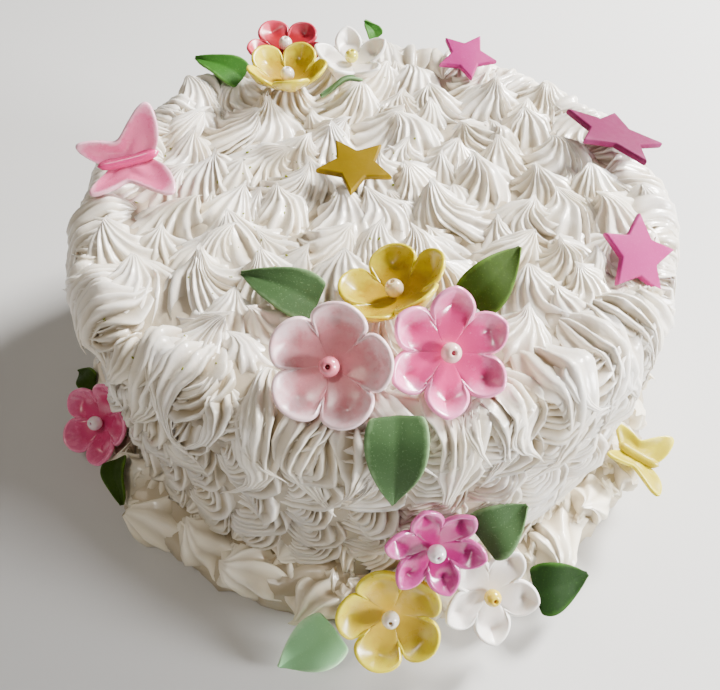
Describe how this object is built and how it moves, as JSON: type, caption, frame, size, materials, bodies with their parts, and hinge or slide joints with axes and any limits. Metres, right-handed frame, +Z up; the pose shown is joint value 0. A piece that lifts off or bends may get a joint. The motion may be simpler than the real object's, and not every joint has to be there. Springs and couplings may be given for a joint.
{
  "type": "layer cake",
  "caption": "Round frosted cake with piped cream swirls all over, a blob border round its foot, and sugar flowers, leaves, stars and butterflies set on it.",
  "frame": {"origin": "middle of the flat underside of the cake", "axes": "+Z up out of the top; -Y is the front, where the flower clusters are; +X to the right seen from the front"},
  "size_m": [0.3027, 0.3221, 0.1532],
  "materials": {
    "cream": "whipped, soft satin",
    "pale_pink": "smooth sugar paste, satin",
    "hot_pink": "smooth sugar paste, satin",
    "yellow": "smooth sugar paste, satin",
    "red": "smooth sugar paste, satin",
    "white": "smooth sugar paste, satin",
    "magenta": "smooth sugar paste, satin",
    "crimson": "smooth sugar paste, satin",
    "moss": "smooth sugar paste, satin",
    "olive": "smooth sugar paste, satin",
    "leafy": "smooth sugar paste, satin",
    "forest": "smooth sugar paste, satin",
    "mint": "smooth sugar paste, satin",
    "gold": "smooth sugar paste, satin",
    "mauve": "smooth sugar paste, satin",
    "rose": "smooth sugar paste, satin",
    "blush": "smooth sugar paste, satin",
    "lemon": "smooth sugar paste, satin",
    "pearl": "pearlescent, gloss"
  },
  "bodies": {
    "root": {"cake": "cream", "flower_rim_pale_pink": "pale_pink", "pearl_rim_pale_pink": "pearl", "flower_rim_hot_pink": "hot_pink", "pearl_rim_hot_pink": "pearl", "flower_rim_yellow": "yellow", "pearl_rim_yellow": "pearl", "flower_back_yellow": "yellow", "pearl_back_yellow": "pearl", "flower_back_red": "red", "pearl_back_red": "pearl", "flower_back_white": "white", "pearl_back_white": "pearl", "flower_wall_magenta": "magenta", "pearl_wall_magenta": "pearl", "flower_base_yellow": "yellow", "pearl_base_yellow": "pearl", "flower_base_white": "white", "pearl_base_white": "pearl", "flower_side_crimson": "crimson", "pearl_side_crimson": "pearl", "leaf_rim_left": "moss", "leaf_rim_right": "olive", "leaf_rim_below": "moss", "leaf_back_left": "leafy", "leaf_back_right": "leafy", "leaf_back_front": "moss", "leaf_wall": "moss", "leaf_base_right": "forest", "leaf_base_left": "mint", "leaf_side_back": "olive", "leaf_side_front": "olive", "star_middle_gold": "gold", "star_right_mauve": "mauve", "star_right_pink": "rose", "star_back_rose": "rose", "butterfly_top_pink": "blush", "butterfly_base_yellow": "lemon"}
  },
  "joints": []
}
